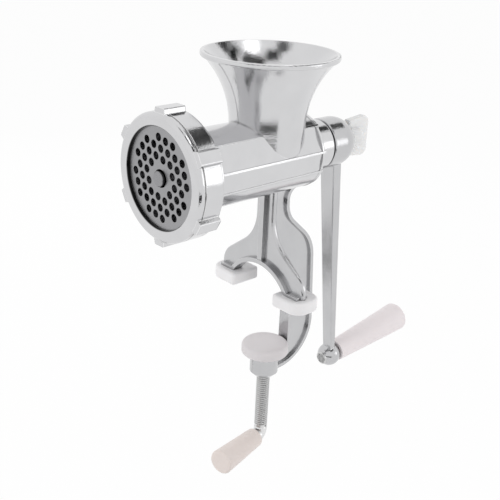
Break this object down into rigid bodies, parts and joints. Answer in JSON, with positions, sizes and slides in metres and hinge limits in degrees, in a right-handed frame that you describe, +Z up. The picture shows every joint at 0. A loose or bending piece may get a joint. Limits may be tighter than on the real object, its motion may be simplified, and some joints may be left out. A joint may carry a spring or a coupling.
{
  "type": "hand crank meat grinder",
  "caption": "Table-clamp meat grinder with a flared hopper, a barrel with a screw auger, a knife and perforated plate held by a lugged ring nut, a crank with a loose grip, and a screw clamp.",
  "frame": {"origin": "where the axis of the clamp screw meets the table top, level with the undersides of the foot pads", "axes": "+Z up along the clamp screw and the hopper, -Y to the front with the cutting plate, +Y to the rear with the crank, +X to the grinder's left seen from the front, which is the near side in the picture"},
  "size_m": [0.0794, 0.2215, 0.2619],
  "materials": {
    "polished_casting": "polished bright casting",
    "auger_casting": "satin casting",
    "steel": "bright drawn steel",
    "plate_steel": "ground steel",
    "bearing_plastic": "plain white plastic",
    "pad_plastic": "soft white plastic",
    "grip_plastic": "off-white moulded plastic",
    "wing_plastic": "milky white moulded plastic"
  },
  "bodies": {
    "frame": {"grinder_body": "polished_casting", "plate_key_pin": "steel", "rear_bush": "bearing_plastic", "thrust_washer": "bearing_plastic", "foot_pad_left": "pad_plastic", "foot_pad_right": "pad_plastic"},
    "crank": {"auger": "auger_casting", "auger_stub": "steel", "cutter_knife": "plate_steel", "crank_arm": "polished_casting", "handle_pin": "steel", "grip_washer": "steel"},
    "grip": {"crank_grip": "grip_plastic"},
    "wing_carrier": {"wing_washer": "steel"},
    "wing": {"wing_stud": "steel", "wing_knob": "wing_plastic"},
    "plate": {"cutting_plate": "plate_steel"},
    "ring": {"ring_nut": "polished_casting"},
    "clamp_head": {"clamp_disc": "steel", "clamp_cap": "grip_plastic"},
    "clamp_handle": {"clamp_screw": "steel", "clamp_grip": "grip_plastic"}
  },
  "joints": [
    {"name": "crank_spin", "type": "hinge", "parent": "frame", "child": "crank", "pos_m": [0, 0, 0.0885], "axis": [0, 1, 0], "continuous": true},
    {"name": "grip_spin", "type": "hinge", "parent": "crank", "child": "grip", "pos_m": [0, 0.06259, -0.06687], "axis": [0, 0.9942, 0.108], "continuous": true},
    {"name": "wing_turn", "type": "hinge", "parent": "wing_carrier", "child": "wing", "pos_m": [0, 0.0598, 0.0885], "axis": [0, 1, 0], "range_deg": [0, 2592]},
    {"name": "wing_travel", "type": "slide", "parent": "crank", "child": "wing_carrier", "axis": [0, 1, 0], "range_m": [0, 0.009]},
    {"name": "ring_turn", "type": "hinge", "parent": "plate", "child": "ring", "pos_m": [0, -0.0837, 0.0885], "axis": [0, -1, 0], "range_deg": [0, 1440]},
    {"name": "plate_travel", "type": "slide", "parent": "frame", "child": "plate", "axis": [0, -1, 0], "range_m": [0, 0.008]},
    {"name": "clamp_turn", "type": "hinge", "parent": "clamp_head", "child": "clamp_handle", "pos_m": [0, 0, -0.0415], "axis": [0, 0, 1], "range_deg": [0, 8280]},
    {"name": "clamp_travel", "type": "slide", "parent": "frame", "child": "clamp_head", "axis": [0, 0, 1], "range_m": [0, 0.0345]}
  ],
  "couplings": [
    {"joint": "wing_turn", "follows": "wing_travel", "rad_per_m": 5026.5},
    {"joint": "ring_turn", "follows": "plate_travel", "rad_per_m": 3141.6},
    {"joint": "clamp_turn", "follows": "clamp_travel", "rad_per_m": 4188.8}
  ]
}
